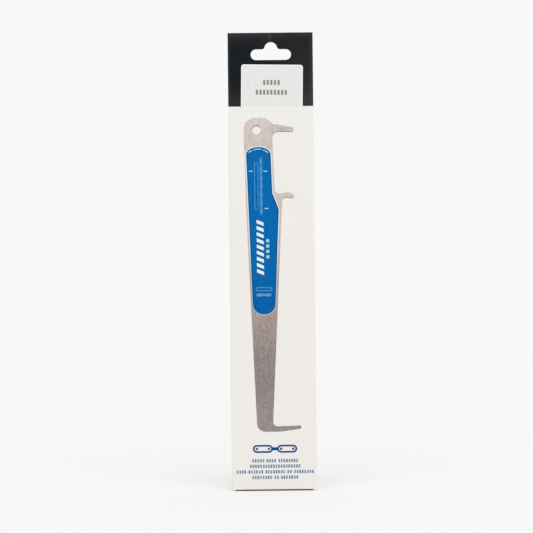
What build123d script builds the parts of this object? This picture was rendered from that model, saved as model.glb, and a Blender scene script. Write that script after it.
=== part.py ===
from build123d import *
from math import sqrt
import os

# A hanging carton for a bicycle chain gauge: one folded sheet of board, glued shut, with a
# double header that carries the hang slot, a stock label, and a life-size picture of the gauge.
# X is the width, Y the depth with the front towards minus Y, and Z is up from the table.

# The carton and its board, in millimetres
carton_width = 65.0
carton_depth = 15.0
board = 0.45
crease = 0.8
inner_crease = 0.35
panel_lift = 0.9
flap_inset = 0.5
seam_step = 1.0
ply_gap = 0.12
ply_gap_depth = 0.5

# The gap under the front panel, where the closing flap lifts off the table and tucks in
tuck_lift = 1.1
tuck_reach = 4.0
tuck_slope = 2.0
tuck_inset = 2.8

# The hang slot: a long round-ended slot with a round lobe over its middle
slot_width = 30.85
slot_height = 8.2
slot_drop = 20.88
slot_shift = 0.42
lobe_radius = 4.95
lobe_rise = 0.47
lobe_root = 2.2

# Ink, and the paper label stuck across the foot of the header
ink = 0.06
paper = 0.12
label_width = 47.1
label_height = 35.9
label_corner = 2.0
label_shift = 1.0
label_overhang = 4.07
label_tilt = -1.0
slot_to_label = 3.57

# The pictured gauge, at life size: it measures a chain of half-inch pitch, from seat to seat
pitch = 12.7
roller = 7.75
upper_span = 4
long_span = 18
gauge_foot = 45.13
label_to_gauge = 4.75
gauge_hole = 3.5
gauge_hole_x = -11.25
gauge_hole_rise = 1.42

# Corners of the gauge, each as x, height over its seat and rounding radius
head_rise = 10.45
foot_drop = 4.62
head_corners = [
    (-21.1, head_rise, 8.5),
    (-3.9, head_rise, 4.0),
    (1.0, 5.95, 3.0),
    (17.0, 3.0, 1.5),
    (17.0, 0.1, 1.3),
    (0.8, 0.1, 4.3),
]
middle_corners = [
    (2.45, 3.5, 3.4),
    (8.1, 3.5, 5.0),
    (12.6, 4.75, 6.0),
    (17.7, 2.1, 1.6),
    (16.2, 0.0, 1.0),
    (12.0, 0.6, 5.0),
    (8.0, 0.3, 2.8),
]
foot_corners = [
    (-0.75, -0.7, 3.8),
    (20.8, 0.0, 0.9),
    (20.7, -2.5, 0.9),
    (4.5, -foot_drop, 12.0),
    (-12.65, -foot_drop, 6.5),
]
back_corners = [(-19.6, -8.0, 100.0)]

# The dark edges of the picture, under its hooks and in its hole
shade_line = 0.45
hole_shade_x = 0.15
hole_shade_drop = 0.75
hook_reach = 24.0
hook_depth = 6.0

# The coloured panel on the gauge, its corners as x, height and radius, with a pale line and a dark rim
keyline = 0.65
panel_rim = 0.8
panel_drop = 10.3
panel_length = 129.1
arch_corners = [(-19.3, -4.7, 4.8), (-10.0, 0.3, 13.0), (-0.6, -4.7, 4.8)]
step_corners = [(0.45, 3.7, 12.0), (5.3, -8.6, 6.0)]
panel_foot_corners = [(1.7, 0.0, 7.9), (-14.95, 0.0, 8.1)]

# What the panel carries, hung from its top: dashes, a chain and a bar, pointers, a band, squares
arch_x = -10.0
arch_drop = 14.2
arch_dash_radius = 11.2
arch_dash_line = 0.7
arch_dashes = [(59, 11), (93, 15), (122, 7)]
fine_line = 0.45
drawn_pitch = 3.175
drawn_wide = 2.1
drawn_narrow = 1.2
drawn_pin = 0.45
chain_x = -8.0
chain_drop = 31.4
chain_links = 13
bar_x = -11.6
bar_reach = 33.4
bar_width = 2.9
pointer_length = 3.2
pointer_line = 0.8
pointers = [(-15.8, -19.8), (-4.7, -20.0), (-4.0, -48.4)]
band_x = -9.1
band_drop = 78.2
band_width = 5.4
band_block = 2.6
band_slant = -1.1
band_pitch = 4.7
band_blocks = 9
square_x = -3.4
square_drop = 79.2
square_side = 2.4
square_corner = 0.5
square_pitch = 4.1
square_count = 4

# The drawings at the panel's foot: a short chain with a bar over it
foot_x = -6.6
foot_rise = 14.6
foot_links = 3
foot_bar_rise = 4.4
foot_bar_reach = 9.5

# The print under the gauge: a chain in the place of a title, and rows of plain blocks
print_middle = 0.6
title_level = 32.05
title_pitch = 9.25
title_wide = 6.1
title_narrow = 2.4
title_line = 1.35
title_pin = 0.95
caption_top = 23.0
caption_step = 4.25
caption_height = 2.5
caption_block = 1.25
caption_pitch = 1.95
word_gap = 1.9
caption_words = [(5, 4, 8), (20,), (4, 6, 8, 2, 8), (8, 2, 7)]

# The blocks on the label, measured from its middle
block_width = 1.6
block_height = 3.7
block_pitch = 2.75
block_x = -0.4
upper_row = 4.3
upper_blocks = 5
lower_row = -3.2
lower_blocks = 9

# Heights that follow from the sizes above, from the table up
finger_seat = gauge_foot + foot_drop
upper_seat = finger_seat + long_span * pitch - roller / 2
lower_seat = upper_seat - upper_span * pitch
panel_top = upper_seat - panel_drop
panel_foot = panel_top - panel_length
label_foot = upper_seat + head_rise + label_to_gauge
body_height = label_foot + label_overhang
slot_foot = label_foot + label_height + slot_to_label
carton_height = slot_foot + slot_drop
ply_gap_height = carton_height - body_height - crease - 2 * board

# Places and planes that follow
front = -carton_depth / 2
back = carton_depth / 2
front_plane = Plane.XZ.offset(carton_depth / 2)
ink_plane = front_plane.offset(ink)
label_plane = front_plane.offset(ink + paper)
slot_place = (slot_shift, slot_foot + slot_height / 2)
label_place = Location((label_shift, label_foot + label_height / 2, 0), (0, 0, label_tilt))
hole_place = (gauge_hole_x, upper_seat + gauge_hole_rise)


def hang_slot():
    """The hang slot's outline about its own middle, with small fillets at the lobe's roots."""
    half = slot_height / 2
    straight = slot_width / 2 - half
    root_x = sqrt((lobe_radius + lobe_root) ** 2 - (lobe_root - lobe_rise) ** 2)
    share = lobe_radius / (lobe_radius + lobe_root)
    lobe_end = (share * root_x, half + lobe_rise + share * (lobe_root - lobe_rise))
    with BuildSketch() as outline:
        with BuildLine():
            ThreePointArc((straight, -half), (straight + half, 0), (straight, half))
            Line((straight, half), (root_x, half))
            TangentArc((root_x, half), lobe_end, tangent=(-1, 0))
            mirror(about=Plane.YZ)
            ThreePointArc(lobe_end, (0, half + lobe_rise + lobe_radius), (-lobe_end[0], lobe_end[1]))
            Line((-straight, -half), (straight, -half))
        make_face()
    return outline.sketch


def rounded_outline(corners):
    """A closed face from corners given as x, z and the radius that rounds each one."""
    with BuildSketch() as outline:
        with BuildLine():
            FilletPolyline(*[(x, z) for x, z, _ in corners], radius=[r for _, _, r in corners], close=True)
        make_face()
    return outline.sketch


def footprint():
    """The body seen from above: three rounded creases, and the lapped seam at one back corner."""
    return rounded_outline([
        (-carton_width / 2, front, crease),
        (carton_width / 2, front, crease),
        (carton_width / 2, back, crease),
        (-carton_width / 2 + seam_step, back, 0),
        (-carton_width / 2 + seam_step, back - board, 0),
        (-carton_width / 2, back - board, crease),
    ])


def drawn_chain(length, links, wide, narrow, pin):
    """A drawn length of chain along its own X: wide and narrow plates in turn, with open pins."""
    with BuildSketch() as chain:
        for link in range(links):
            with Locations(((link + 0.5 - links / 2) * length, 0)):
                SlotCenterToCenter(length, wide if link % 2 == 0 else narrow)
        with GridLocations(length, 0, links + 1, 1):
            Circle(pin, mode=Mode.SUBTRACT)
    return chain.sketch


def open_chain():
    """A bold drawn length of chain: two plates in outline, a bar that joins them, and four pins."""
    with BuildSketch() as chain:
        SlotCenterToCenter(title_pitch, title_narrow)
        with GridLocations(2 * title_pitch, 0, 2, 1):
            SlotCenterToCenter(title_pitch, title_wide)
        with GridLocations(2 * title_pitch, 0, 2, 1):
            SlotCenterToCenter(title_pitch, title_wide - 2 * title_line, mode=Mode.SUBTRACT)
        with GridLocations(title_pitch, 0, 4, 1):
            Circle(title_pin)
    return chain.sketch


def drawn_bar(reach, width, line):
    """A drawn bar along its own X: the outline of a round-ended strip."""
    with BuildSketch() as bar:
        SlotCenterToCenter(reach, width)
        SlotCenterToCenter(reach, width - 2 * line, mode=Mode.SUBTRACT)
    return bar.sketch


def arch_dash(middle_angle, half_sweep):
    """One dash on a circle about its own middle, as a thin curved slot."""
    with BuildSketch() as dash:
        with BuildLine():
            CenterArc((0, 0), arch_dash_radius, middle_angle - half_sweep, 2 * half_sweep)
        trace(line_width=arch_dash_line)
    return dash.sketch


def slanted_block():
    """One block of the band: upright sides, and ends that lean the same way."""
    half_width = band_width / 2
    half_height = band_block / 2
    with BuildSketch() as block:
        with BuildLine():
            Polyline(
                (-half_width, -half_height - band_slant),
                (half_width, -half_height + band_slant),
                (half_width, half_height + band_slant),
                (-half_width, half_height - band_slant),
                close=True,
            )
        make_face()
    return block.sketch


def upright(x, z):
    """A place on the front that turns a drawing on end."""
    return Location((x, z, 0), (0, 0, 90))


def over(level, corners):
    """Corners given over a level, as corners in the carton's own heights."""
    return [(x, level + rise, radius) for x, rise, radius in corners]


def gauge_outline():
    """The pictured gauge: a tapering blade with two hooks on one side and a finger at its foot."""
    return rounded_outline(
        over(upper_seat, head_corners)
        + over(lower_seat, middle_corners)
        + over(finger_seat, foot_corners)
        + over(lower_seat, back_corners)
    )


def panel_outline(growth=0.0):
    """The coloured panel: an arched top, a side that steps out below the hook, a round foot."""
    with BuildSketch() as outline:
        add(rounded_outline(
            over(panel_top, arch_corners)
            + over(lower_seat, step_corners)
            + over(panel_foot, panel_foot_corners)
        ))
        if growth:
            offset(amount=growth)
    return outline.sketch


def hook_shade(seat):
    """The dark line that the picture shows along a hook's lower edge, as seen from above."""
    with BuildSketch() as shade:
        with Locations((0, -shade_line)):
            add(gauge_outline())
        add(gauge_outline(), mode=Mode.SUBTRACT)
        with Locations((hook_reach / 2, seat)):
            Rectangle(hook_reach, 2 * hook_depth, mode=Mode.INTERSECT)
    return shade.sketch


# The closed carton, solid inside because it is a sealed pack
with BuildPart() as carton:
    # Front panel, closing flaps and back panel, as a profile seen from the side
    with BuildSketch(Plane.YZ):
        with BuildLine():
            FilletPolyline(
                (front, board),
                (front + board, board),
                (front + board, 0),
                (back, 0),
                (back, body_height - panel_lift),
                (back - board, body_height - panel_lift),
                (back - board, body_height),
                (front + 2 * board, body_height),
                (front + 2 * board, body_height + crease),
                (front, body_height + crease),
                radius=[0, 0, inner_crease, crease, 0, 0, crease, inner_crease, 0, 0],
                close=True,
            )
        make_face()
    extrude(amount=carton_width / 2 - flap_inset, both=True)
    # Side panels, creased over into dust flaps that lie under the closing flaps
    with BuildSketch(Plane.XZ.offset(-back)):
        with Locations((0, body_height / 2)):
            RectangleRounded(carton_width, body_height - 2 * board, crease)
    extrude(amount=carton_depth)
    # The cut upper edge of the back panel
    with BuildSketch(Plane.YZ):
        with Locations((back, body_height)):
            Rectangle(board, panel_lift, align=(Align.MAX, Align.MAX))
    extrude(amount=carton_width / 2, both=True, mode=Mode.SUBTRACT)
    # The gap under the front panel, open to the front and closed where the flap meets the table
    with BuildSketch(Plane.YZ):
        with BuildLine():
            Polyline(
                (front, 0),
                (front, tuck_lift),
                (front + tuck_reach, tuck_lift),
                (front + tuck_reach + tuck_slope, 0),
                close=True,
            )
        make_face()
    extrude(amount=carton_width / 2 - tuck_inset, both=True, mode=Mode.SUBTRACT)
    # Three creased upright corners, and the glue seam where the back panel laps its flap
    with BuildSketch():
        Rectangle(carton_width, carton_depth)
        add(footprint(), mode=Mode.SUBTRACT)
    extrude(amount=carton_height, mode=Mode.SUBTRACT)
    # The header: the front panel runs up, folds over at the top and comes down behind itself
    with BuildSketch(Plane.YZ):
        with BuildLine():
            Line((front, body_height), (front, carton_height - board))
            ThreePointArc(
                (front, carton_height - board),
                (front + board, carton_height),
                (front + 2 * board, carton_height - board),
            )
            Line((front + 2 * board, carton_height - board), (front + 2 * board, body_height))
            Line((front + 2 * board, body_height), (front, body_height))
        make_face()
    extrude(amount=carton_width / 2, both=True)
    # The gap between the header's two plies, seen along its cut sides
    for side in (-1, 1):
        with BuildSketch(Plane.YZ.offset(side * carton_width / 2)):
            with Locations((front + board, body_height + crease)):
                Rectangle(ply_gap, ply_gap_height, align=(Align.CENTER, Align.MIN))
        extrude(amount=-side * ply_gap_depth, mode=Mode.SUBTRACT)
    with BuildSketch(front_plane):
        with Locations(slot_place):
            add(hang_slot())
    extrude(amount=-2 * board, mode=Mode.SUBTRACT)
carton.part.label = "carton"

# The dark field on the header: up the front, over the fold and down the ply behind
with BuildPart() as header_print:
    with BuildSketch(Plane.YZ):
        with BuildLine():
            Line((front - ink, body_height), (front - ink, carton_height - board))
            ThreePointArc(
                (front - ink, carton_height - board),
                (front + board, carton_height + ink),
                (front + 2 * board + ink, carton_height - board),
            )
            Polyline(
                (front + 2 * board + ink, carton_height - board),
                (front + 2 * board + ink, body_height + crease),
                (front + 2 * board, body_height + crease),
                (front + 2 * board, carton_height - board),
            )
            ThreePointArc(
                (front + 2 * board, carton_height - board),
                (front + board, carton_height),
                (front, carton_height - board),
            )
            Polyline((front, carton_height - board), (front, body_height), (front - ink, body_height))
        make_face()
    extrude(amount=carton_width / 2, both=True)
    with BuildSketch(ink_plane):
        with Locations(slot_place):
            add(hang_slot())
    extrude(amount=-2 * (board + ink), mode=Mode.SUBTRACT)
header_print.part.label = "header_print"

# The stock label, stuck half on the dark field and half on the bare board below it
with BuildPart() as stock_label:
    with BuildSketch(front_plane):
        with Locations(label_place):
            RectangleRounded(label_width, label_height, label_corner)
    extrude(amount=ink + paper)
    add(header_print.part, mode=Mode.SUBTRACT)
stock_label.part.label = "stock_label"

# Two rows of plain blocks on the label
with BuildPart() as label_print:
    with BuildSketch(label_plane):
        with Locations(label_place):
            for level, blocks in ((upper_row, upper_blocks), (lower_row, lower_blocks)):
                with Locations((block_x, level)):
                    with GridLocations(block_pitch, 0, blocks, 1):
                        Rectangle(block_width, block_height)
    extrude(amount=ink)
label_print.part.label = "label_print"

# The bare metal of the pictured gauge, open at its hole and round the coloured panel
with BuildPart() as gauge_print:
    with BuildSketch(front_plane):
        add(gauge_outline())
        with Locations(hole_place):
            Circle(gauge_hole, mode=Mode.SUBTRACT)
        add(panel_outline(keyline), mode=Mode.SUBTRACT)
    extrude(amount=ink)
gauge_print.part.label = "gauge_print"

# The dark edges that the picture shows in the hole and under the hooks
with BuildPart() as shade_print:
    with BuildSketch(front_plane):
        add(hook_shade(upper_seat))
        add(hook_shade(lower_seat))
        with BuildSketch(mode=Mode.ADD):
            with Locations(hole_place):
                Circle(gauge_hole)
            with Locations((hole_place[0] + hole_shade_x, hole_place[1] - hole_shade_drop)):
                Circle(gauge_hole, mode=Mode.SUBTRACT)
    extrude(amount=ink)
shade_print.part.label = "shade_print"

# The pale line between the metal and the coloured panel
with BuildPart() as keyline_print:
    with BuildSketch(front_plane):
        add(panel_outline(keyline))
        add(panel_outline(), mode=Mode.SUBTRACT)
    extrude(amount=ink)
keyline_print.part.label = "keyline_print"

# The panel's darker rim
with BuildPart() as rim_print:
    with BuildSketch(front_plane):
        add(panel_outline())
        add(panel_outline(-panel_rim), mode=Mode.SUBTRACT)
    extrude(amount=ink)
rim_print.part.label = "rim_print"

# The coloured panel, with what is white on it left bare in the ink
with BuildPart() as panel_print:
    with BuildSketch(front_plane):
        add(panel_outline(-panel_rim))
        with Locations(*[(x, panel_top + z) for x, z in pointers]):
            SlotOverall(pointer_length, pointer_line, mode=Mode.SUBTRACT)
        # A band of slanted blocks up the middle, with a row of squares beside it
        with Locations((band_x, panel_top - band_drop)):
            with GridLocations(0, band_pitch, 1, band_blocks):
                add(slanted_block(), mode=Mode.SUBTRACT)
        with Locations((square_x, panel_top - square_drop)):
            with GridLocations(0, square_pitch, 1, square_count):
                RectangleRounded(square_side, square_side, square_corner, mode=Mode.SUBTRACT)
    extrude(amount=ink)
panel_print.part.label = "panel_print"

# The pale drawings over the coloured panel
with BuildPart() as drawing_print:
    with BuildSketch(ink_plane):
        # Three dashes that follow the arch
        with Locations((arch_x, panel_top - arch_drop)):
            for middle_angle, half_sweep in arch_dashes:
                add(arch_dash(middle_angle, half_sweep))
        # A chain hanging beside a long bar
        with Locations(upright(chain_x, panel_top - chain_drop)):
            add(drawn_chain(drawn_pitch, chain_links, drawn_wide, drawn_narrow, drawn_pin))
        with Locations(upright(bar_x, panel_top - chain_drop)):
            add(drawn_bar(bar_reach, bar_width, fine_line))
        # A short length of chain across the foot, with a bar over it
        with Locations((foot_x, panel_foot + foot_rise)):
            add(drawn_chain(drawn_pitch, foot_links, drawn_wide, drawn_narrow, drawn_pin))
        with Locations((foot_x, panel_foot + foot_rise + foot_bar_rise)):
            add(drawn_bar(foot_bar_reach, bar_width, fine_line))
    extrude(amount=ink)
drawing_print.part.label = "drawing_print"

# A bold length of chain under the gauge
with BuildPart() as title_print:
    with BuildSketch(front_plane):
        with Locations((print_middle, title_level)):
            add(open_chain())
    extrude(amount=ink)
title_print.part.label = "title_print"

# Four rows of small blocks below it, grouped as words are
with BuildPart() as caption_print:
    with BuildSketch(front_plane):
        for row, words in enumerate(caption_words):
            lengths = [blocks * caption_pitch - (caption_pitch - caption_block) for blocks in words]
            edge = print_middle - (sum(lengths) + word_gap * (len(words) - 1)) / 2
            for blocks, length in zip(words, lengths):
                with Locations((edge + length / 2, caption_top - row * caption_step)):
                    with GridLocations(caption_pitch, 0, blocks, 1):
                        Rectangle(caption_block, caption_height)
                edge += length + word_gap
    extrude(amount=ink)
caption_print.part.label = "caption_print"

os.makedirs("parts", exist_ok=True)
export_step(carton.part, "parts/carton.step")
export_step(header_print.part, "parts/header_print.step")
export_step(stock_label.part, "parts/stock_label.step")
export_step(label_print.part, "parts/label_print.step")
export_step(gauge_print.part, "parts/gauge_print.step")
export_step(shade_print.part, "parts/shade_print.step")
export_step(keyline_print.part, "parts/keyline_print.step")
export_step(rim_print.part, "parts/rim_print.step")
export_step(panel_print.part, "parts/panel_print.step")
export_step(drawing_print.part, "parts/drawing_print.step")
export_step(title_print.part, "parts/title_print.step")
export_step(caption_print.part, "parts/caption_print.step")
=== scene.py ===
"""Looks of a hanging carton that carries a life-size picture of a chain gauge.

Everything is in metres, in the model's own frame: X is the width, the front looks towards
minus Y, and Z is up from the table. The carton and its ink come from the frame. This file
gives each of them its finish, makes the paper label as a sheet that lies over the ink's edge,
and sets the floor, the lamps and the camera.
"""

from __future__ import annotations

import logging
import math
from dataclasses import dataclass
from enum import Enum
from functools import cached_property, reduce

import bpy
import numpy as np
from mathutils import Euler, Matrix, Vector


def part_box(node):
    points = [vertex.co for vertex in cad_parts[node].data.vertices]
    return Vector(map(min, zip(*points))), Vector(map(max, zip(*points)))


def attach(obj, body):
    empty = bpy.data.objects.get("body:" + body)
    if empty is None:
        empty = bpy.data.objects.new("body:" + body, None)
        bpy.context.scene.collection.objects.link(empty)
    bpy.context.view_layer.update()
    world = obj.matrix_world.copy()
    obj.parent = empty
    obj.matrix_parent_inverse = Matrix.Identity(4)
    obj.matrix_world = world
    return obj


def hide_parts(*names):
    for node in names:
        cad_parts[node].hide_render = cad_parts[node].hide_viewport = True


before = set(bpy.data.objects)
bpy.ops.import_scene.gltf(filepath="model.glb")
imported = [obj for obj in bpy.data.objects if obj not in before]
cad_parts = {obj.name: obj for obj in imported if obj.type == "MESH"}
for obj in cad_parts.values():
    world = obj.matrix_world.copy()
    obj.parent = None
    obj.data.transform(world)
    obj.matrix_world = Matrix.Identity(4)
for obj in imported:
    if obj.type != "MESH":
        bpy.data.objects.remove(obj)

log = logging.getLogger("carton")
MM = 0.001
HAIR = 0.02 * MM  # how far a mask reaches past the face that it marks
MARGIN = 0.05 * MM  # the same where no other face is near
FACING = 0.9  # a face looks along an axis when its normal's part there is over this
MIX_COLOUR_INPUTS = (0, 6, 7)  # a Mix node's share and its two colours, by their place
MIX_COLOUR_OUTPUT = 2

Socket = bpy.types.NodeSocket
Value = Socket | float | tuple[float, ...]  # what feeds a socket: an output, number or colour


@dataclass(frozen=True)
class Tone:
    """A colour as it is written for a screen, each part from 0 to 255."""

    red: float
    green: float
    blue: float

    def linear(self) -> tuple[float, float, float, float]:
        """Turns the colour into linear light by the usual screen curve.

        Returns:
            Red, green and blue from 0 to 1, and 1 for opaque.
        """
        parts = np.array([self.red, self.green, self.blue]) / 255.0
        bright = ((parts + 0.055) / 1.055) ** 2.4
        return (*np.where(parts > 0.04045, bright, parts / 12.92).tolist(), 1.0)

    def shifted(self, step: float) -> Tone:
        """The same colour, lighter or darker by a number of steps."""
        return Tone(self.red + step, self.green + step, self.blue + step)


HeightTones = tuple[tuple[float, Tone], ...]  # each height with its tone, from the lowest up


def even(size: float) -> tuple[float, float, float]:
    """One size along all three axes."""
    return size, size, size


@dataclass(frozen=True)
class Noise:
    """Cloudy patches: their size along X, Y and Z, their finer layers, and how strong those are."""

    size: tuple[float, float, float]
    detail: float
    roughness: float = 0.5


@dataclass(frozen=True)
class Fibre:
    """The fine fibre of a face: its length, how far it stands up, and its finer layers."""

    length: float = 0.25 * MM
    depth: float = 0.004 * MM
    detail: float = 2.0


class Grain(Enum):
    """How an ink's tone varies: its patches, and between which values they turn to light."""

    EVEN = (Noise(even(1.2 * MM), detail=4.0), (0.3, 0.7))
    STROKES = (Noise((0.42 * MM, 0.42 * MM, 6.0 * MM), detail=1.0, roughness=0.4), (0.42, 0.56))


class Blend(Enum):
    """How one colour is laid on another."""

    OVER = "MIX"
    TIMES = "MULTIPLY"


class Graph:
    """The node tree of a material or a world, with short ways to add its nodes and join them."""

    def __init__(self, owner: bpy.types.Material | bpy.types.World) -> None:
        """Starts an empty tree.

        Args:
            owner: the material or the world.
        """
        owner.use_nodes = True
        self.owner = owner
        self.tree = owner.node_tree
        self.tree.nodes.clear()

    @classmethod
    def for_finish(cls, name: str) -> Graph:
        """Starts a new material of a given name."""
        return cls(bpy.data.materials.new(name))

    @cached_property
    def coordinates(self) -> bpy.types.Node:
        """The node that reads where a point lies and which way it faces."""
        return self.add("ShaderNodeTexCoord")

    @property
    def place(self) -> Socket:
        """A point's place in the piece's own frame, in metres."""
        return self.coordinates.outputs["Object"]

    @property
    def normal(self) -> Socket:
        """The way that the surface faces there."""
        return self.coordinates.outputs["Normal"]

    def add(self, kind: str, **settings: str) -> bpy.types.Node:
        """Adds a node.

        Args:
            kind: the node's type name.
            settings: the node's own properties.

        Returns:
            The new node.
        """
        node = self.tree.nodes.new(kind)
        for name, value in settings.items():
            setattr(node, name, value)
        return node

    def feed(self, socket: Socket, value: Value) -> None:
        """Joins an output to a socket, or sets a constant on it.

        Args:
            socket: the input that is fed.
            value: an output socket, or a number or colour.
        """
        if isinstance(value, Socket):
            self.tree.links.new(value, socket)
        else:
            socket.default_value = value

    def math(self, operation: str, first: Value, second: Value = 0.0) -> Socket:
        """Works out one sum from two values.

        Args:
            operation: the Math node's operation.
            first: its first value.
            second: its second value.

        Returns:
            The result.
        """
        node = self.add("ShaderNodeMath", operation=operation)
        self.feed(node.inputs[0], first)
        self.feed(node.inputs[1], second)
        return node.outputs[0]

    def axis(self, vector: Socket, letter: str) -> Socket:
        """Takes one part of a vector.

        Args:
            vector: the vector.
            letter: X, Y or Z.

        Returns:
            That part.
        """
        node = self.add("ShaderNodeSeparateXYZ")
        self.feed(node.inputs[0], vector)
        return node.outputs[letter]

    def spread(
        self,
        value: Socket,
        start: float,
        end: float,
        low: float = 0.0,
        high: float = 1.0,
    ) -> Socket:
        """Carries a value smoothly from low at start to high at end, and holds it beyond them.

        Args:
            value: the value that drives it.
            start: where the result is low.
            end: where the result is high.
            low: the result up to start.
            high: the result from end on.

        Returns:
            The result.
        """
        node = self.add("ShaderNodeMapRange", interpolation_type="SMOOTHSTEP")
        for socket, number in zip(node.inputs, (value, start, end, low, high)):
            self.feed(socket, number)
        return node.outputs[0]

    def where(self, value: Socket, low: float, high: float) -> Socket:
        """A mask that is 1 where a value lies between two bounds, and 0 elsewhere."""
        over, under = self.math("GREATER_THAN", value, low), self.math("LESS_THAN", value, high)
        return self.both(over, under)

    def chain(self, operation: str, *parts: Socket) -> Socket:
        """Joins any number of values by one operation, from the first to the last."""
        return reduce(lambda joined, part: self.math(operation, joined, part), parts)

    def both(self, *masks: Socket) -> Socket:
        """A mask that is 1 where all the given masks are."""
        return self.chain("MULTIPLY", *masks)

    def either(self, *masks: Socket) -> Socket:
        """A mask that is 1 where any of the given masks is."""
        return self.chain("MAXIMUM", *masks)

    def attribute(self, name: str) -> Socket:
        """Reads a number that the piece's own mesh carries."""
        return self.add("ShaderNodeAttribute", attribute_name=name).outputs["Fac"]

    def noise(self, patches: Noise) -> Socket:
        """Cloudy noise round one half, with patches of a real size along each axis.

        Args:
            patches: the patches' size and finer layers.

        Returns:
            The noise.
        """
        mapping = self.add("ShaderNodeMapping")
        self.feed(mapping.inputs["Vector"], self.place)
        self.feed(mapping.inputs["Scale"], tuple(1.0 / length for length in patches.size))
        node = self.add("ShaderNodeTexNoise")
        self.feed(node.inputs["Vector"], mapping.outputs[0])
        settings = (("Scale", 1.0), ("Detail", patches.detail), ("Roughness", patches.roughness))
        for name, number in settings:
            self.feed(node.inputs[name], number)
        return node.outputs[0]

    def mix(self, share: Value, first: Value, second: Value, blend: Blend = Blend.OVER) -> Socket:
        """Mixes two colours.

        The node's inputs are taken by their place, because their names stand there more than once.

        Args:
            share: how much of the second shows, from 0 to 1.
            first: a colour or a socket.
            second: a colour or a socket.
            blend: how the second is laid on the first.

        Returns:
            The mixed colour.
        """
        node = self.add("ShaderNodeMix", data_type="RGBA", blend_type=blend.value)
        for index, value in zip(MIX_COLOUR_INPUTS, (share, first, second)):
            self.feed(node.inputs[index], value)
        return node.outputs[MIX_COLOUR_OUTPUT]

    def up_the_height(self, tones: HeightTones, step: float = 0.0) -> Socket:
        """Carries a row of tones up the height, straight from one to the next, and holds both ends.

        Args:
            tones: each tone with the height at which it is reached, from the lowest up.
            step: how far each tone is shifted.

        Returns:
            The colour.
        """
        low, high = tones[0][0], tones[-1][0]
        along = self.add("ShaderNodeMapRange")
        for socket, number in zip(along.inputs, (self.axis(self.place, "Z"), low, high, 0.0, 1.0)):
            self.feed(socket, number)
        ramp = self.add("ShaderNodeValToRGB")
        self.feed(ramp.inputs[0], along.outputs[0])
        stops = ramp.color_ramp.elements
        stops.remove(stops[-1])
        for index, (level, tone) in enumerate(tones):
            share = (level - low) / (high - low)
            stop = stops[0] if index == 0 else stops.new(share)
            stop.position = share
            stop.color = tone.shifted(step).linear()
        return ramp.outputs[0]

    def finish(
        self, colour: Socket, roughness: Value, specular: float, fibre: Fibre
    ) -> bpy.types.Material:
        """Ends the tree in one surface shader.

        Args:
            colour: the base colour.
            roughness: the roughness.
            specular: the specular level, the same all over.
            fibre: the face's fibre, as a bump.

        Returns:
            The material.
        """
        bump = self.add("ShaderNodeBump")
        self.feed(bump.inputs["Height"], self.noise(Noise(even(fibre.length), fibre.detail)))
        self.feed(bump.inputs["Distance"], fibre.depth)
        shader = self.add("ShaderNodeBsdfPrincipled")
        self.feed(shader.inputs["Base Color"], colour)
        self.feed(shader.inputs["Roughness"], roughness)
        self.feed(shader.inputs["Normal"], bump.outputs[0])
        self.feed(shader.inputs["Specular IOR Level"], specular)
        output = self.add("ShaderNodeOutputMaterial")
        self.feed(output.inputs["Surface"], shader.outputs[0])
        return self.owner

    def blend_shaders(
        self, share: Socket, first: bpy.types.Node, second: bpy.types.Node, kind: str
    ) -> None:
        """Ends the tree in a blend of two shaders.

        Args:
            share: how much of the second shows, from 0 to 1.
            first: a shader.
            second: a shader.
            kind: what the tree belongs to, Material or World.
        """
        blended = self.add("ShaderNodeMixShader")
        for socket, value in zip(blended.inputs, (share, first.outputs[0], second.outputs[0])):
            self.feed(socket, value)
        output = self.add("ShaderNodeOutput" + kind)
        self.feed(output.inputs["Surface"], blended.outputs[0])


@dataclass(frozen=True)
class BoardPlaces:
    """Where the board is cut or folded, in the carton's own frame."""

    body_top: float
    half_width: float
    front: float
    back: float


@dataclass(frozen=True)
class BareShapes:
    """Shapes left bare in the coloured panel: their tone, and the box that holds them."""

    tone: Tone
    left: float
    right: float
    low: float
    high: float

    def mask(self, graph: Graph) -> Socket:
        """Masks the front of the board inside the box.

        Args:
            graph: the material's graph.

        Returns:
            The mask.
        """
        return graph.both(
            graph.where(graph.axis(graph.place, "X"), self.left, self.right),
            graph.where(graph.axis(graph.place, "Z"), self.low, self.high),
            graph.math("LESS_THAN", graph.axis(graph.normal, "Y"), -FACING),
        )


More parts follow.
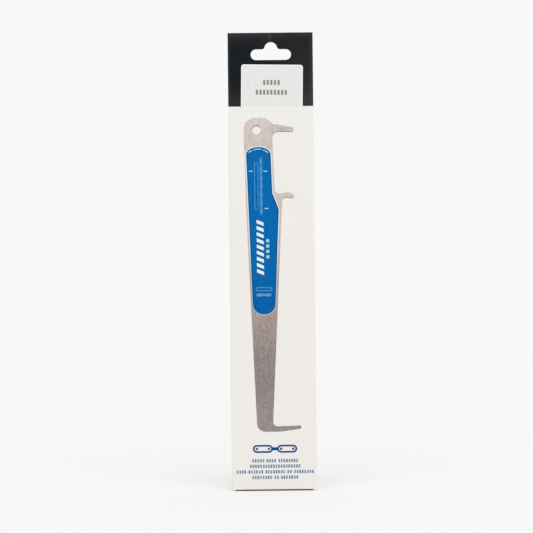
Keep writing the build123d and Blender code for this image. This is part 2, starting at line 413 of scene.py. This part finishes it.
@dataclass(frozen=True)
class BoardFinish:
    """White coated board, with raw fibre at its cut edges, and painted shade in the gap under the
    front panel.

    The raw edges are faces turned edge-on above the body, the back panel's upper edge, which lies a
    lift below the body's top, and the seam's step on the left. The painted shade in the gap is
    darkest in its middle and fades to a lighter tone at both its ends.
    """

    tones: HeightTones = (
        (150 * MM, Tone(234.3, 230.2, 226.2)),
        (255 * MM, Tone(236.2, 232.7, 228.7)),
        (272 * MM, Tone(235.3, 233.3, 229.3)),
        (292 * MM, Tone(234.6, 234.6, 230)),
    )
    raw: Tone = Tone(196, 188, 176)
    # gap and gap_end: painted shade on the faces inside the gap under the front panel, dark in the
    # middle and lighter at both ends
    gap: Tone = Tone(106, 82, 66)
    gap_end: Tone = Tone(228, 214, 200)
    bare: tuple[BareShapes, ...] = (
        BareShapes(Tone(146, 214, 236), -18.0 * MM, -2.5 * MM, 243.0 * MM, 246.0 * MM),
        BareShapes(Tone(146, 214, 236), -6.5 * MM, -1.8 * MM, 214.0 * MM, 217.5 * MM),
        BareShapes(Tone(223, 236, 238), -12.3 * MM, -5.9 * MM, 163.0 * MM, 209.0 * MM),
        BareShapes(Tone(168, 206, 212), -5.2 * MM, -1.6 * MM, 176.0 * MM, 194.0 * MM),
    )
    cloud: Noise = Noise(even(2.0 * MM), detail=4.0)
    cloud_turn: tuple[float, float] = (0.35, 0.75)
    mottle: float = 1.1
    satin_turn: tuple[float, float] = (0.3, 0.7)
    satin: tuple[float, float] = (0.46, 0.54)
    specular: float = 0.35
    fibre: Fibre = Fibre(depth=0.006 * MM)
    board: float = 0.45 * MM
    header_rise: float = 1.2 * MM
    edge_on: float = 0.7
    lift: float = 0.9 * MM
    lift_slack: float = 0.1 * MM
    seam: float = 1.0 * MM
    gap_height: float = 1.1 * MM
    gap_reach: float = 6.0 * MM
    gap_side: float = 0.5 * MM
    gap_inset: float = 2.4 * MM
    gap_fades: tuple[float, float] = (11.0 * MM, 9.0 * MM)

    def raw_edges(self, graph: Graph, places: BoardPlaces) -> Socket:
        """Masks the cut edges: the header's sides and slot, the back panel's top and the seam.

        Args:
            graph: the material's graph.
            places: where the board's parts lie.

        Returns:
            The mask.
        """
        across, depth, rise = (graph.axis(graph.place, letter) for letter in "XYZ")
        side, facing, up = (graph.axis(graph.normal, letter) for letter in "XYZ")
        header = graph.both(
            graph.math("GREATER_THAN", rise, places.body_top + self.header_rise),
            graph.where(facing, -self.edge_on, self.edge_on),
        )
        back_ply = graph.math("GREATER_THAN", depth, places.back - self.board - HAIR)
        lowest = places.body_top - self.lift - self.lift_slack
        upper_edge = graph.both(
            back_ply,
            graph.where(rise, lowest, places.body_top - self.lift / 2),
            graph.math("GREATER_THAN", up, FACING),
        )
        seam = graph.both(
            back_ply,
            graph.math("LESS_THAN", across, self.seam + MARGIN - places.half_width),
            graph.math("LESS_THAN", side, -FACING),
        )
        return graph.either(header, upper_edge, seam)

    def gap_shade(self, graph: Graph, places: BoardPlaces) -> tuple[Socket, ...]:
        """Masks the gap under the front panel, and works out its painted shade.

        Args:
            graph: the material's graph.
            places: where the board's parts lie.

        Returns:
            The mask and the painted shade's colour.
        """
        across, depth, rise = (graph.axis(graph.place, letter) for letter in "XYZ")
        side = places.half_width - self.gap_side
        in_gap = graph.both(
            graph.math("LESS_THAN", rise, self.gap_height + HAIR),
            graph.where(depth, places.front + MARGIN, places.front + self.gap_reach),
            graph.where(across, -side, side),
        )
        # the painted shade is darkest between the two fades, and lighter towards both ends
        end = places.half_width - self.gap_inset
        left, right = self.gap_fades
        deep = graph.both(
            graph.spread(across, -end, left - end), graph.spread(across, end, end - right)
        )
        return in_gap, graph.mix(deep, self.gap_end.linear(), self.gap.linear())

    def material(self, places: BoardPlaces) -> bpy.types.Material:
        """Makes the finish.

        Args:
            places: where the board's parts lie.

        Returns:
            The material.
        """
        graph = Graph.for_finish("coated_board")
        clean = graph.up_the_height(self.tones)
        dull = graph.up_the_height(self.tones, -2 * self.mottle)
        cloud = graph.noise(self.cloud)
        coated = graph.mix(graph.spread(cloud, *self.cloud_turn), clean, dull)
        for shapes in self.bare:
            coated = graph.mix(shapes.mask(graph), coated, shapes.tone.linear())
        cut = graph.mix(self.raw_edges(graph, places), coated, self.raw.linear())
        # painted shade in the gap under the front panel
        in_gap, shade = self.gap_shade(graph, places)
        roughness = graph.spread(cloud, *self.satin_turn, *self.satin)
        return graph.finish(graph.mix(in_gap, cut, shade), roughness, self.specular, self.fibre)


@dataclass(frozen=True)
class InkFinish:
    """Ink on the board: tones up its height, lightly mottled or broken into strokes, and satin.

    Its grain shifts the tones by the depth, to lighter and to darker.
    """

    name: str
    tones: HeightTones
    grain: Grain = Grain.EVEN
    depth: float = 3.0
    roughness: float = 0.45
    specular: float = 0.03
    fibre: Fibre = Fibre()

    def material(self) -> bpy.types.Material:
        """Makes the finish.

        Returns:
            The material.
        """
        graph = Graph.for_finish(self.name)
        light = graph.up_the_height(self.tones, self.depth)
        dark = graph.up_the_height(self.tones, -self.depth)
        patches, turn = self.grain.value
        colour = graph.mix(graph.spread(graph.noise(patches), *turn), dark, light)
        return graph.finish(colour, self.roughness, self.specular, self.fibre)


@dataclass(frozen=True)
class DarkFieldFinish:
    """The header's black print: deep on the left, paler to the right and along its edges.

    The paleness to the right is painted sheen, and along the top fold it is a painted highlight;
    the field is also paler along its sides, at its upper left, towards its foot and in a streak
    over the slot. Each of these marks has a strength and a reach. A reach of two lengths runs from
    where the mark starts to where it is full, and both are measured from the field's nearest edge
    or from the streak's own middle.
    """

    deep: Tone = Tone(21, 25.3, 29.3)
    # the pale tone, used for the painted sheen, the painted highlight and the other pale marks
    pale_tone: Tone = Tone(63, 63, 63)
    # painted sheen, paler to the right: its share at the right, its share at the top, and the
    # height over the foot from which it is full
    sheen_to_the_right: float = 0.31
    sheen_at_top: float = 0.55
    sheen_full: float = 15 * MM
    upper_left: float = 0.22
    upper_reach: tuple[float, float] = (14.0 * MM, 2.0 * MM)
    along_foot: float = 0.34
    foot_reach: float = 21 * MM
    # painted highlight along the top fold, and its reach below the top
    highlight_along_fold: float = 0.30
    fold_reach: tuple[float, float] = (5.5 * MM, 0.5 * MM)
    along_sides: float = 0.27
    left_reach: float = 3.5 * MM
    right_reach: tuple[float, float] = (4.0 * MM, 1.0 * MM)
    below_fold: tuple[float, float] = (1.0 * MM, 6.0 * MM)
    over_slot: float = 0.30
    streak_width: tuple[float, float] = (2.3 * MM, 0.3 * MM)
    streak_height: tuple[float, float] = (7.0 * MM, 3.0 * MM)
    cloud: Noise = Noise(even(1.6 * MM), detail=5.0, roughness=0.65)
    cloud_turn: tuple[float, float] = (0.3, 0.7)
    mottle: float = 0.07
    satin: tuple[float, float] = (0.5, 0.58)
    specular: float = 0.04
    fibre: Fibre = Fibre()

    def paleness(self, graph: Graph, low: Vector, high: Vector, streak_middle: Vector) -> Socket:
        """Adds up how pale the print turns, by painted sheen, a painted highlight and its other
        pale marks, before its mottle.

        Args:
            graph: the material's graph.
            low: the field's lowest corner.
            high: its highest corner.
            streak_middle: the middle of the pale streak over the slot.

        Returns:
            The share of the pale tone.
        """
        across, rise = graph.axis(graph.place, "X"), graph.axis(graph.place, "Z")
        beside = graph.math("ABSOLUTE", graph.math("SUBTRACT", across, streak_middle.x))
        along = graph.math("ABSOLUTE", graph.math("SUBTRACT", rise, streak_middle.z))
        upper, fold, right, below = (
            [edge - length for length in reach]
            for edge, reach in (
                (high.z, self.upper_reach),
                (high.z, self.fold_reach),
                (high.x, self.right_reach),
                (high.z, self.below_fold),
            )
        )
        beneath = graph.spread(rise, *below)
        return graph.chain(
            "ADD",
            # painted sheen, paler to the right and less so at the top
            graph.both(
                graph.spread(across, low.x, high.x, 0.0, self.sheen_to_the_right),
                graph.spread(rise, high.z, low.z + self.sheen_full, self.sheen_at_top, 1.0),
            ),
            graph.both(
                graph.spread(across, low.x, high.x, self.upper_left, 0.0),
                graph.spread(rise, *upper),
            ),
            graph.spread(rise, low.z + self.foot_reach, low.z, 0.0, self.along_foot),
            # painted highlight along the top fold
            graph.spread(rise, *fold, 0.0, self.highlight_along_fold),
            graph.both(
                graph.spread(across, low.x + self.left_reach, low.x, 0.0, self.along_sides), beneath
            ),
            graph.both(graph.spread(across, *right, 0.0, self.along_sides), beneath),
            graph.both(
                graph.spread(beside, *self.streak_width, 0.0, self.over_slot),
                graph.spread(along, *self.streak_height),
            ),
        )

    def material(self, low: Vector, high: Vector, streak_middle: Vector) -> bpy.types.Material:
        """Makes the finish.

        Args:
            low: the field's lowest corner.
            high: its highest corner.
            streak_middle: the middle of the pale streak over the slot.

        Returns:
            The material.
        """
        graph = Graph.for_finish("black_ink")
        cloud = graph.noise(self.cloud)
        mottle = graph.spread(cloud, *self.cloud_turn, -self.mottle, self.mottle)
        share = graph.math("ADD", self.paleness(graph, low, high, streak_middle), mottle)
        share = graph.math("MINIMUM", graph.math("MAXIMUM", share, 0.0), 1.0)
        colour = graph.mix(share, self.deep.linear(), self.pale_tone.linear())
        roughness = graph.spread(cloud, *self.cloud_turn, *self.satin)
        return graph.finish(colour, roughness, self.specular, self.fibre)


@dataclass(frozen=True)
class SteelFinish:
    """The picture of ground steel: brushed at the top, short warm and cool flecks further down."""

    tones: HeightTones = (
        (44 * MM, Tone(148, 138, 135)),
        (58 * MM, Tone(150, 140, 137)),
        (70 * MM, Tone(145, 136, 133)),
        (80 * MM, Tone(140, 131, 128)),
        (103 * MM, Tone(144, 133, 129)),
        (128 * MM, Tone(161, 147, 141)),
        (200 * MM, Tone(196, 184, 178)),
        (232 * MM, Tone(208, 193, 187)),
        (268 * MM, Tone(205, 194, 188)),
        (285 * MM, Tone(211, 201, 195)),
    )
    flecks: Noise = Noise((0.6 * MM, 0.6 * MM, 1.5 * MM), detail=1.0)
    fleck_turn: tuple[float, float] = (0.3, 0.7)
    fleck_depth: float = 27.0
    streaks: Noise = Noise((0.75 * MM, 0.75 * MM, 7.0 * MM), detail=3.0, roughness=0.6)
    streak_part: float = 0.6
    streak_turn: tuple[float, float] = (0.36, 0.64)
    streak_depth: float = 14.0
    streak_rise: tuple[float, float] = (180 * MM, 250 * MM)
    warmth: Noise = Noise((1.1 * MM, 1.1 * MM, 1.6 * MM), detail=2.0)
    warmth_turn: tuple[float, float] = (0.38, 0.62)
    tint: float = 3.5
    hook_across: tuple[float, float] = (-3.0 * MM, 6.0 * MM)
    hook_rise: tuple[float, float] = (262 * MM, 272 * MM)
    hook_shade: float = 10.0
    roughness: float = 0.42
    specular: float = 0.05
    fibre: Fibre = Fibre()

    def shades(self, graph: Graph, step: float) -> Socket:
        """The tones by height, shifted by one step, with the upper hook turned a little darker.

        Args:
            graph: the material's graph.
            step: how far the tones are shifted.

        Returns:
            The colour.
        """
        on_hook = graph.both(
            graph.spread(graph.axis(graph.place, "X"), *self.hook_across),
            graph.spread(graph.axis(graph.place, "Z"), *self.hook_rise),
        )
        plain = graph.up_the_height(self.tones, step)
        return graph.mix(on_hook, plain, graph.up_the_height(self.tones, step - self.hook_shade))

    def grained(self, graph: Graph, share: Socket, depth: float) -> Socket:
        """Carries the shades from darker to lighter, to a depth each way, by a grain's share."""
        return graph.mix(share, self.shades(graph, -depth), self.shades(graph, depth))

    def material(self) -> bpy.types.Material:
        """Makes the finish.

        Returns:
            The material.
        """
        graph = Graph.for_finish("steel_tone_ink")
        flecks, streaks = graph.noise(self.flecks), graph.noise(self.streaks)
        flecked = self.grained(graph, graph.spread(flecks, *self.fleck_turn), self.fleck_depth / 2)
        fine = graph.math(
            "ADD",
            graph.math("MULTIPLY", streaks, self.streak_part),
            graph.math("MULTIPLY", flecks, 1.0 - self.streak_part),
        )
        brushed = self.grained(graph, graph.spread(fine, *self.streak_turn), self.streak_depth)
        up = graph.spread(graph.axis(graph.place, "Z"), *self.streak_rise)
        warm = Tone(255, 255 - self.tint, 255 - 2 * self.tint).linear()
        cool = Tone(255 - 2 * self.tint, 255 - self.tint, 255).linear()
        warmth = graph.spread(graph.noise(self.warmth), *self.warmth_turn)
        tint = graph.mix(warmth, cool, warm)
        colour = graph.mix(1.0, graph.mix(up, flecked, brushed), tint, Blend.TIMES)
        return graph.finish(colour, self.roughness, self.specular, self.fibre)


@dataclass(frozen=True)
class PaperFinish:
    """The label's thin white paper: what is under it shows through, and along its rim it has a
    painted highlight over the ink and a painted shadow over the board.
    """

    over_ink: Tone = Tone(229, 228, 226)
    over_board: Tone = Tone(237, 236, 231)
    # painted highlight along the rim over the ink, and painted shadow along the rim over the board
    highlight_rim_over_ink: Tone = Tone(250, 249, 247)
    shadow_rim_over_board: Tone = Tone(232, 229, 225)
    ink_edge: float = 0.3 * MM
    cloud: Noise = Noise(even(2.6 * MM), detail=5.0)
    cloud_turn: tuple[float, float] = (0.4, 0.75)
    mottle: float = 5.0
    rim_turn: tuple[float, float] = (0.1, 0.6)
    roughness: float = 0.62
    specular: float = 0.3
    fibre: Fibre = Fibre(0.2 * MM, 0.008 * MM, detail=3.0)

    def material(self, ink_foot: float) -> bpy.types.Material:
        """Makes the finish.

        Args:
            ink_foot: the height at which the dark field under the paper ends.

        Returns:
            The material.
        """
        graph = Graph.for_finish("label_paper")
        rise = graph.axis(graph.place, "Z")
        under = graph.spread(rise, ink_foot - self.ink_edge, ink_foot + self.ink_edge)
        base, shade, rim = (
            graph.mix(under, board.linear(), ink.linear())
            for board, ink in (
                (self.over_board, self.over_ink),
                (self.over_board.shifted(-self.mottle), self.over_ink.shifted(-self.mottle)),
                (self.shadow_rim_over_board, self.highlight_rim_over_ink),
            )
        )
        cloud = graph.spread(graph.noise(self.cloud), *self.cloud_turn)
        # the rim's painted highlight over the ink and painted shadow over the board
        along_rim = graph.spread(graph.attribute("rim"), *self.rim_turn)
        colour = graph.mix(along_rim, graph.mix(cloud, base, shade), rim)
        return graph.finish(colour, self.roughness, self.specular, self.fibre)


def dress(node: str, material: bpy.types.Material) -> None:
    """Gives a piece of the frame its finish.

    Args:
        node: the piece's name.
        material: the finish.
    """
    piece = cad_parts[node]
    for holder in piece.material_slots:
        holder.material = material
    log.info("dressed %s with %s", node, material.name)


@dataclass
class Carton:
    """The folded, glued carton and the dark field on its header."""

    board: BoardFinish = BoardFinish()
    header_ink: DarkFieldFinish = DarkFieldFinish()
    streak_x: float = -0.4 * MM
    streak_drop: float = 4.5 * MM

    def dress(self) -> None:
        """Gives the board and the dark field their finishes."""
        low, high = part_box("carton")
        field_low, field_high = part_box("header_print")
        places = BoardPlaces(body_top=field_low.z, half_width=high.x, front=low.y, back=high.y)
        dress("carton", self.board.material(places))
        streak_middle = Vector((self.streak_x, low.y, high.z - self.streak_drop))
        dress("header_print", self.header_ink.material(field_low, field_high, streak_middle))


@dataclass
class StockLabel:
    """The paper label, a thin sheet that lies over the dark field's lower edge, and its blocks."""

    paper: PaperFinish = PaperFinish()
    ink: InkFinish = InkFinish(
        "grey_ink", ((300 * MM, Tone(138, 135, 131)), (315 * MM, Tone(138, 135, 131))), depth=6.0
    )
    corner: float = 2.0 * MM
    tilt: float = math.radians(-1.0)
    ramp: float = 0.8 * MM
    lift: float = 0.03 * MM
    rim: float = 0.9 * MM
    columns: int = 108
    rows: int = 84

    def half_sizes(self, low: Vector, high: Vector) -> tuple[float, float]:
        """The untilted sheet's half width and half height, worked out from its tilted box.

        Both sides of the box, less the round corners, are the sheet's two straight runs turned by
        the tilt and added up. Solved for the runs, that is the box turned back over the cosine of
        twice the tilt.

        Args:
            low: the box's lowest corner.
            high: its highest corner.

        Returns:
            Half the width and half the height.
        """
        wide, tall = high.x - low.x - 2 * self.corner, high.z - low.z - 2 * self.corner
        turn = abs(self.tilt)
        run = (wide * math.cos(turn) - tall * math.sin(turn)) / math.cos(2 * turn)
        rise = (tall * math.cos(turn) - wide * math.sin(turn)) / math.cos(2 * turn)
        return run / 2 + self.corner, rise / 2 + self.corner

    def flat_grid(self, half_width: float, half_height: float) -> tuple[np.ndarray, ...]:
        """Lays the flat sheet out as a grid about its own middle.

        Both parameters run from -1 to 1 by the sine of an even angle, so that lines crowd at the
        rim. Height is the second one times the half height. A row's half width is the sheet's,
        less the corner radius, plus the circle's root where the row crosses the round corners.
        The distance to the rim is that of a rounded rectangle: the corner radius less the length
        of what reaches past the corners' centres both ways, or the nearer straight side.

        Args:
            half_width: half the sheet's width.
            half_height: half its height.

        Returns:
            Each point's place across and up, and its distance to the rim.
        """
        lines = [np.sin(np.linspace(-0.5, 0.5, n + 1) * np.pi) for n in (self.columns, self.rows)]
        u, v = np.meshgrid(*lines, indexing="ij")
        up = v * half_height
        past = np.maximum(np.abs(up) - (half_height - self.corner), 0.0)
        reach = half_width - self.corner + np.sqrt(np.maximum(self.corner**2 - past**2, 0.0))
        across = u * reach
        past_side = np.abs(across) - (half_width - self.corner)
        past_end = np.abs(up) - (half_height - self.corner)
        outside = np.hypot(np.maximum(past_side, 0.0), np.maximum(past_end, 0.0))
        inside = np.minimum(np.maximum(past_side, past_end), 0.0)
        return across, up, self.corner - outside - inside

    def make_sheet(self) -> bpy.types.Object:
        """Makes the paper as a closed thin shell in the solid label's place.

        The flat grid is turned by the tilt about the label's middle. Its front lies a paper's
        thickness over the board, and rises by the ink's thickness over a short ramp that ends at
        the ink's edge, as three squares less two cubes of the ramp's share. Its rim lifts by a
        bell curve of the distance to it. The back is the front moved in by the paper's thickness,
        and a wall round the rim joins the two.

        Returns:
            The sheet.
        """
        low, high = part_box("stock_label")
        board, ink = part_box("carton")[0].y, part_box("header_print")[0]
        across, up, inward = self.flat_grid(*self.half_sizes(low, high))
        x = (low.x + high.x) / 2 + across * math.cos(self.tilt) - up * math.sin(self.tilt)
        z = (low.z + high.z) / 2 + across * math.sin(self.tilt) + up * math.cos(self.tilt)
        share = np.clip((z - ink.z + self.ramp) / self.ramp, 0.0, 1.0)
        under = board + (ink.y - board) * share * share * (3.0 - 2.0 * share)
        under = under - self.lift * np.exp(-((inward / self.rim) ** 2))
        paper = ink.y - low.y
        front = np.stack([x, under - paper, z], axis=-1).reshape(-1, 3)
        back = np.stack([x, under, z], axis=-1).reshape(-1, 3)
        mesh = bpy.data.meshes.new("label_sheet")
        faces = self.shell_faces(len(front))
        mesh.from_pydata(np.vstack([front, back]).tolist(), [], faces.tolist())
        # near_rim drives the painted highlight and shadow along the paper's rim
        near_rim = np.clip(1.0 - inward / self.rim, 0.0, 1.0).ravel()
        mesh.attributes.new("rim", "FLOAT", "POINT").data.foreach_set("value", np.tile(near_rim, 2))
        mesh.shade_smooth()
        sheet = bpy.data.objects.new("label_sheet", mesh)
        bpy.context.scene.collection.objects.link(sheet)
        return sheet

    def shell_faces(self, count: int) -> np.ndarray:
        """Joins the front and back grids into one closed shell.

        The front's faces run across and then up, which turns them to the front, the back's run the
        other way, and the wall's follow the rim once round.

        Args:
            count: how many points the front has.

        Returns:
            The faces, as rows of four points.
        """
        index = np.arange(count).reshape(self.columns + 1, self.rows + 1)
        around = [index[:-1, :-1], index[1:, :-1], index[1:, 1:], index[:-1, 1:]]
        quads = np.stack(around, axis=-1).reshape(-1, 4)
        loop = np.concatenate([index[:-1, 0], index[-1, :-1], index[:0:-1, -1], index[0, :0:-1]])
        following = np.roll(loop, -1)
        wall = np.stack([loop, loop + count, following + count, following], axis=-1)
        return np.vstack([quads, quads[:, ::-1] + count, wall])

    def dress(self) -> None:
        """Lays the sheet in the solid label's place, and gives it and its blocks their finishes."""
        sheet = self.make_sheet()
        sheet.data.materials.append(self.paper.material(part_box("header_print")[0].z))
        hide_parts("stock_label")
        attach(sheet, "root")
        log.info("laid the label over the dark field's edge")
        dress("label_print", self.ink.material())


@dataclass
class GaugePicture:
    """The picture of the gauge: bare steel, its dark edges, and the coloured panel."""

    steel: SteelFinish = SteelFinish()
    shade: InkFinish = InkFinish(
        "shade_ink", ((216 * MM, Tone(124, 116, 110)), (279 * MM, Tone(120, 112, 106)))
    )
    keyline: InkFinish = InkFinish(
        "pale_ink",
        (
            (133 * MM, Tone(140, 185, 220)),
            (150 * MM, Tone(166, 185, 206)),
            (166 * MM, Tone(174, 194, 214)),
            (184 * MM, Tone(203, 228, 247)),
            (264 * MM, Tone(211, 236, 254)),
        ),
    )
    rim: InkFinish = InkFinish(
        "navy_ink",
        (
            (134 * MM, Tone(12, 70, 128)),
            (250 * MM, Tone(10, 70, 126)),
            (262 * MM, Tone(4, 60, 112)),
        ),
    )
    panel: InkFinish = InkFinish(
        "blue_ink",
        (
            (134 * MM, Tone(0, 94, 162)),
            (200 * MM, Tone(0, 102, 171)),
            (240 * MM, Tone(2, 102, 171)),
            (262 * MM, Tone(8, 102, 168)),
        ),
        depth=6.0,
        roughness=0.4,
    )
    drawing: InkFinish = InkFinish(
        "light_blue_ink",
        (
            (147 * MM, Tone(100, 160, 202)),
            (200 * MM, Tone(80, 148, 200)),
            (255 * MM, Tone(80, 148, 200)),
            (257.5 * MM, Tone(170, 214, 250)),
        ),
        depth=8.0,
    )

    def dress(self) -> None:
        """Gives each field of the picture its finish."""
        finishes = {
            "gauge_print": self.steel,
            "shade_print": self.shade,
            "keyline_print": self.keyline,
            "rim_print": self.rim,
            "panel_print": self.panel,
            "drawing_print": self.drawing,
        }
        for node, finish in finishes.items():
            dress(node, finish.material())


@dataclass
class FootPrint:
    """The drawn chain and the rows of blocks under the gauge."""

    title: InkFinish = InkFinish(
        "title_ink", ((27 * MM, Tone(6, 79, 136)), (35 * MM, Tone(6, 79, 136)))
    )
    caption: InkFinish = InkFinish(
        "caption_ink",
        ((8 * MM, Tone(105, 130, 158)), (24 * MM, Tone(105, 130, 158))),
        grain=Grain.STROKES,
        depth=36.0,
    )

    def dress(self) -> None:
        """Gives the drawn chain and the rows of blocks their finishes."""
        dress("title_print", self.title.material())
        dress("caption_print", self.caption.material())


@dataclass(frozen=True)
class Lamp:
    """A soft lamp far away, with its angles in degrees.

    Its share is how bright it makes a white face that looks straight at it.
    """

    name: str
    azimuth: float
    elevation: float
    share: float
    softness: float

    def direction(self) -> Vector:
        """Works out the way from the carton to the lamp: 0 is in front, and 90 on the right.

        Returns:
            The way, one long.
        """
        bearing, height = math.radians(self.azimuth), math.radians(self.elevation)
        level = math.cos(height)
        return Vector((level * math.sin(bearing), -level * math.cos(bearing), math.sin(height)))

    def make(self) -> None:
        """Makes the lamp, whose light comes evenly from one side."""
        light = bpy.data.lights.new(self.name, "SUN")
        light.energy = self.share * math.pi
        light.angle = math.radians(self.softness)
        lamp = bpy.data.objects.new(self.name, light)
        lamp.rotation_euler = (-self.direction()).to_track_quat("-Z", "Y").to_euler()
        bpy.context.scene.collection.objects.link(lamp)


@dataclass
class Stage:
    """A pale floor that fades into the backdrop, soft lamps, and the camera."""

    backdrop: Tone = Tone(248, 248, 248)
    ground: Tone = Tone(251, 251, 251)
    world_strength: float = 0.55
    lamps: tuple[Lamp, ...] = (
        Lamp("key", azimuth=-1.0, elevation=38.0, share=0.325, softness=75.0),
        Lamp("fill", azimuth=40.0, elevation=30.0, share=0.06, softness=90.0),
        Lamp("top", azimuth=175.0, elevation=75.0, share=0.20, softness=80.0),
    )
    floor_radius: float = 8.0
    fade_start: float = 3.0
    fade_end: float = 8.0
    lens: float = 135.0
    camera_reach: float = 50.0
    camera_distance: float = 1534.6 * MM
    camera_x: float = -4.5 * MM
    camera_height: float = 171.4 * MM
    camera_roll: float = math.radians(0.585)
    rings: int = 48
    spokes: int = 96

    def make_floor(self) -> None:
        """Makes the round floor: radius times the cosine and sine of the angle, at height zero."""
        radius, angle = np.meshgrid(
            np.linspace(0.0, self.floor_radius, self.rings + 1)[1:],
            np.linspace(0.0, math.tau, self.spokes, endpoint=False),
            indexing="ij",
        )
        ring_points = np.stack(
            [radius * np.cos(angle), radius * np.sin(angle), np.zeros_like(radius)], axis=-1
        )
        points = np.vstack([[0.0, 0.0, 0.0], ring_points.reshape(-1, 3)])
        ring, spoke = np.meshgrid(np.arange(self.rings - 1), np.arange(self.spokes), indexing="ij")
        following = (spoke + 1) % self.spokes
        inner, outer = 1 + ring * self.spokes, 1 + (ring + 1) * self.spokes
        quads = np.stack(
            [inner + spoke, outer + spoke, outer + following, inner + following], axis=-1
        ).reshape(-1, 4)
        around = np.arange(self.spokes)
        fan = np.stack([np.zeros_like(around), 1 + around, 1 + (around + 1) % self.spokes], axis=-1)
        mesh = bpy.data.meshes.new("floor")
        mesh.from_pydata(points.tolist(), [], fan.tolist() + quads.tolist())
        floor = bpy.data.objects.new("floor", mesh)
        bpy.context.scene.collection.objects.link(floor)
        mesh.materials.append(self.floor_material())

    def floor_material(self) -> bpy.types.Material:
        """Makes the floor's matt pale surface, which fades out far from the carton.

        Returns:
            The material.
        """
        graph = Graph.for_finish("pale_floor")
        length = graph.add("ShaderNodeVectorMath", operation="LENGTH")
        graph.feed(length.inputs[0], graph.place)
        faded = graph.spread(length.outputs["Value"], self.fade_start, self.fade_end)
        matt = graph.add("ShaderNodeBsdfDiffuse")
        graph.feed(matt.inputs["Color"], self.ground.linear())
        graph.blend_shaders(faded, matt, graph.add("ShaderNodeBsdfTransparent"), "Material")
        return graph.owner

    def make_world(self) -> None:
        """Makes the world: a pale backdrop, also in gloss, and a softer grey as a light."""
        world = bpy.data.worlds.new("studio")
        bpy.context.scene.world = world
        graph = Graph(world)
        path = graph.add("ShaderNodeLightPath")
        seen = graph.add("ShaderNodeBackground")
        graph.feed(seen.inputs["Color"], self.backdrop.linear())
        lit = graph.add("ShaderNodeBackground")
        graph.feed(lit.inputs["Color"], (1.0, 1.0, 1.0, 1.0))
        graph.feed(lit.inputs["Strength"], self.world_strength)
        rays = (path.outputs[f"Is {kind} Ray"] for kind in ("Camera", "Glossy", "Transmission"))
        graph.blend_shaders(graph.either(*rays), lit, seen, "World")

    def make_camera(self) -> None:
        """Makes the camera: level, square on to the front, and rolled a little."""
        data = bpy.data.cameras.new("camera")
        data.lens = self.lens
        data.clip_end = self.camera_reach
        camera = bpy.data.objects.new("camera", data)
        camera.location = (self.camera_x, -self.camera_distance, self.camera_height)
        upright = Euler((math.radians(90.0), 0.0, 0.0)).to_matrix()
        roll = Euler((0.0, 0.0, -self.camera_roll)).to_matrix()
        camera.rotation_euler = (upright @ roll).to_euler()
        bpy.context.scene.collection.objects.link(camera)
        bpy.context.scene.camera = camera

    def build(self) -> None:
        """Makes the floor, the world, the lamps and the camera."""
        self.make_floor()
        self.make_world()
        for lamp in self.lamps:
            lamp.make()
        self.make_camera()
        log.info("made the floor, the world, %d lamps and the camera", len(self.lamps))


def main() -> None:
    """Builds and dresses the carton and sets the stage."""
    logging.basicConfig(level=logging.INFO, format="%(name)s: %(message)s")
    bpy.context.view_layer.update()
    bpy.context.scene.view_settings.view_transform = "Standard"
    Carton().dress()
    StockLabel().dress()
    GaugePicture().dress()
    FootPrint().dress()
    Stage().build()


if __name__ == "__main__":
    main()
